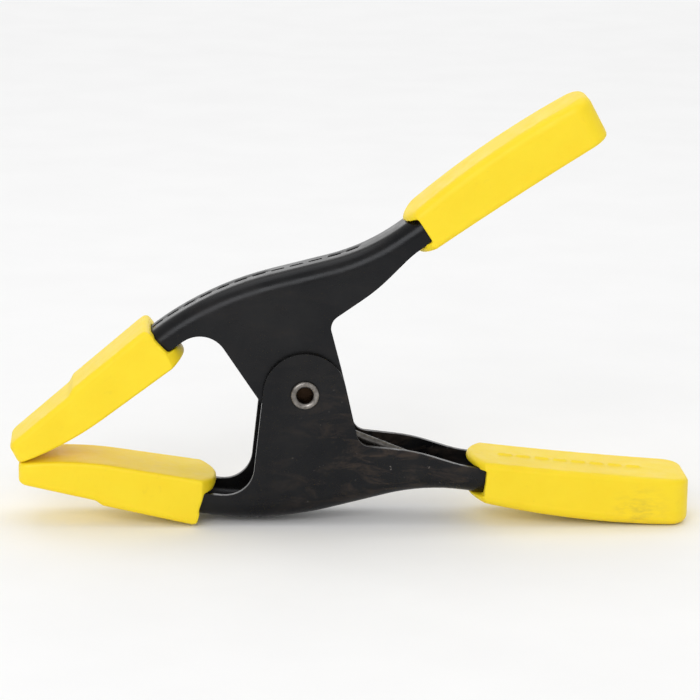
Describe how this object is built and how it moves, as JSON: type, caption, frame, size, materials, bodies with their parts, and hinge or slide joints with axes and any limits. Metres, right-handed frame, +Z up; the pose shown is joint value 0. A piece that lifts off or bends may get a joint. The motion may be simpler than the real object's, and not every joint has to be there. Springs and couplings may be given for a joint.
{
  "type": "spring clamp",
  "caption": "Hand-squeezed spring clamp: stamped steel arms cross on a rivet, a torsion spring shuts the padded jaws, and soft sleeves cover the handles.",
  "frame": {"origin": "centre of the bottom of the bounding box, on the surface the clamp stands on", "axes": "+X from the jaws to the handles, +Y across the clamp along the rivet towards its domed head, +Z up, with the clamp standing on its lower arm and its jaws shut"},
  "size_m": [0.1676, 0.021, 0.1065],
  "materials": {
    "black_steel": "thin black heat-treated and oiled finish, semi-gloss, worn in places",
    "plated_steel": "dull nickel plate",
    "spring_steel": "oil-tempered wire, dark grey",
    "soft_vinyl": "satin flexible vinyl, warm yellow"
  },
  "bodies": {
    "lower_half": {"lower_arm": "black_steel", "pivot_rivet": "plated_steel", "torsion_spring": "spring_steel", "lower_jaw_tip": "soft_vinyl", "lower_grip": "soft_vinyl"},
    "upper_half": {"upper_arm": "black_steel", "upper_jaw_tip": "soft_vinyl", "upper_grip": "soft_vinyl"}
  },
  "joints": [
    {"name": "jaw_hinge", "type": "hinge", "parent": "lower_half", "child": "upper_half", "pos_m": [-0.01193, 0, 0.0332], "axis": [0, 1, 0], "range_deg": [0, 41], "stiffness_Nm_per_rad": 1.8, "springref_deg": -16.04, "deforming": ["torsion_spring"]}
  ]
}
